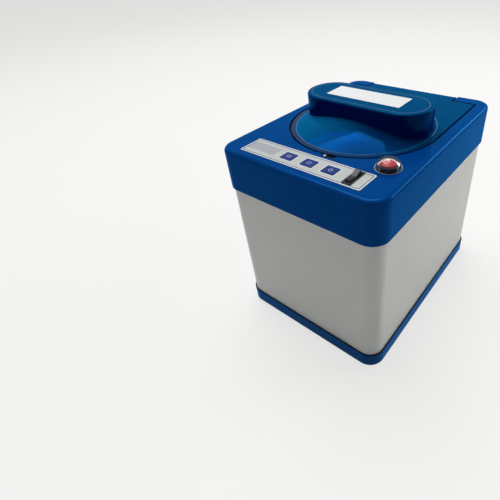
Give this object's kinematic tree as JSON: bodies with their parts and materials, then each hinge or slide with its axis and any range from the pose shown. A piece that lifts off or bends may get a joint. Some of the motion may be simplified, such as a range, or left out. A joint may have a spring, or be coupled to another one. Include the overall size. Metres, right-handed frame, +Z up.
{
  "type": "disc repair machine",
  "caption": "Bench box with a swing-up domed lid, belt-driven turntable, geared polishing pads, keys and a booted start button.",
  "frame": {"origin": "centre of the footprint, on the plane the rubber feet stand on", "axes": "+X to the machine's right, +Y to its back, +Z up; the control panel is at the front, on -Y"},
  "size_m": [0.22, 0.291, 0.2837],
  "materials": {
    "blue_case": "satin blue moulded plastic",
    "tinted_blue": "translucent blue moulded plastic",
    "bowl_blue": "gloss",
    "sleeve_metal": "satin silver-grey coat on sheet steel",
    "steel": "satin",
    "cast_alloy": "machined",
    "black_rubber": "matt",
    "black_plastic": "matt",
    "clear_boot": "clear silicone",
    "red_plastic": "gloss",
    "key_blue": "satin",
    "panel_film": "satin printed film",
    "lcd_glass": "satin glass",
    "board_green": "solder mask",
    "label_film": "satin film",
    "natural_plastic": "natural acetal",
    "tank_plastic": "natural polyethylene",
    "tube_plastic": "clear hose",
    "pad_foam": "foam and felt",
    "brass": "plated"
  },
  "bodies": {
    "case": {"base_tray": "blue_case", "rubber_feet": "black_rubber", "tie_screws": "steel", "case_sleeve": "sleeve_metal", "top_cover": "blue_case", "chassis_plate": "steel", "chassis_pillars": "steel", "splash_bowl": "bowl_blue", "lid_seal": "black_rubber", "spindle_housing": "cast_alloy", "spindle_bearings": "steel", "disc_motor": "steel", "panel_screws": "steel", "drive_belt": "black_rubber", "water_tank": "tank_plastic", "water_pump": "black_plastic", "water_tubes": "tube_plastic", "spray_nozzle": "steel", "power_supply": "steel", "mains_inlet": "black_plastic", "inlet_pins": "brass", "fan_frame": "black_plastic", "control_board": "board_green", "display_module": "black_plastic", "display_window": "lcd_glass", "panel_overlay": "panel_film", "tact_switches": "black_plastic", "switch_frame": "black_plastic", "start_switch": "black_plastic", "start_boot": "clear_boot", "lid_catch": "black_plastic", "hinge_pin": "steel"},
    "lid": {"lid_shell": "tinted_blue", "lid_label": "label_film", "gear_plate_lower": "black_plastic", "gear_plate_upper": "black_plastic", "pad_motor": "steel", "lid_screws": "steel", "lid_magnet": "black_plastic"},
    "turntable": {"turntable": "bowl_blue", "platter_mat": "black_rubber", "spindle_shaft": "steel", "driven_pulley": "black_plastic"},
    "motor_pulley": {"motor_pulley": "black_plastic"},
    "pad_left": {"pad_gear_left": "natural_plastic", "pad_shaft_left": "steel", "polishing_pad_left": "pad_foam"},
    "pad_right": {"pad_gear_right": "natural_plastic", "pad_shaft_right": "steel", "polishing_pad_right": "pad_foam"},
    "motor_pinion": {"motor_pinion": "steel"},
    "idler_left": {"idler_left": "natural_plastic"},
    "idler_right": {"idler_right": "natural_plastic"},
    "key_left": {"key_left": "key_blue"},
    "key_middle": {"key_middle": "key_blue"},
    "key_right": {"key_right": "key_blue"},
    "start_button": {"start_button": "red_plastic"},
    "power_rocker": {"power_rocker": "black_plastic"},
    "fan_rotor": {"fan_rotor": "black_plastic"}
  },
  "joints": [
    {"name": "lid_hinge", "type": "hinge", "parent": "case", "child": "lid", "pos_m": [0, 0.137, 0.2437], "axis": [-1, 0, 0], "range_deg": [0, 95]},
    {"name": "turntable_spin", "type": "hinge", "parent": "case", "child": "turntable", "pos_m": [0, 0.002, 0.221], "axis": [0, 0, 1], "continuous": true},
    {"name": "motor_pulley_spin", "type": "hinge", "parent": "case", "child": "motor_pulley", "pos_m": [0, 0.108, 0.158], "axis": [0, 0, 1], "continuous": true},
    {"name": "pad_left_spin", "type": "hinge", "parent": "lid", "child": "pad_left", "pos_m": [-0.0368, 0.0064, 0.2535], "axis": [0, 0, 1], "continuous": true},
    {"name": "pad_right_spin", "type": "hinge", "parent": "lid", "child": "pad_right", "pos_m": [0.0368, 0.0064, 0.2535], "axis": [0, 0, 1], "continuous": true},
    {"name": "motor_pinion_spin", "type": "hinge", "parent": "lid", "child": "motor_pinion", "pos_m": [0, 0.0064, 0.2535], "axis": [0, 0, 1], "continuous": true},
    {"name": "idler_left_spin", "type": "hinge", "parent": "lid", "child": "idler_left", "pos_m": [-0.0144, 0.0064, 0.2535], "axis": [0, 0, 1], "continuous": true},
    {"name": "idler_right_spin", "type": "hinge", "parent": "lid", "child": "idler_right", "pos_m": [0.0144, 0.0064, 0.2535], "axis": [0, 0, 1], "continuous": true},
    {"name": "key_left_press", "type": "slide", "parent": "case", "child": "key_left", "axis": [0, 0, -1], "range_m": [0, 0.0006], "stiffness_N_per_m": 900, "springref_m": -0.0006},
    {"name": "key_middle_press", "type": "slide", "parent": "case", "child": "key_middle", "axis": [0, 0, -1], "range_m": [0, 0.0006], "stiffness_N_per_m": 900, "springref_m": -0.0006},
    {"name": "key_right_press", "type": "slide", "parent": "case", "child": "key_right", "axis": [0, 0, -1], "range_m": [0, 0.0006], "stiffness_N_per_m": 900, "springref_m": -0.0006},
    {"name": "start_press", "type": "slide", "parent": "case", "child": "start_button", "axis": [0, 0, -1], "range_m": [0, 0.002], "stiffness_N_per_m": 500, "springref_m": -0.001, "deforming": ["start_boot"]},
    {"name": "power_rocker_tilt", "type": "hinge", "parent": "case", "child": "power_rocker", "pos_m": [0.06325, -0.1175, 0.251], "axis": [-1, 0, 0], "range_deg": [0, 16]},
    {"name": "fan_spin", "type": "hinge", "parent": "case", "child": "fan_rotor", "pos_m": [-0.055, 0.137, 0.095], "axis": [0, 1, 0], "continuous": true}
  ],
  "couplings": [
    {"joint": "motor_pulley_spin", "follows": "turntable_spin", "ratio": 3.75},
    {"joint": "pad_right_spin", "follows": "pad_left_spin", "ratio": 1},
    {"joint": "motor_pinion_spin", "follows": "pad_left_spin", "ratio": 2.25},
    {"joint": "idler_left_spin", "follows": "pad_left_spin", "ratio": -1.8},
    {"joint": "idler_right_spin", "follows": "pad_left_spin", "ratio": -1.8}
  ]
}
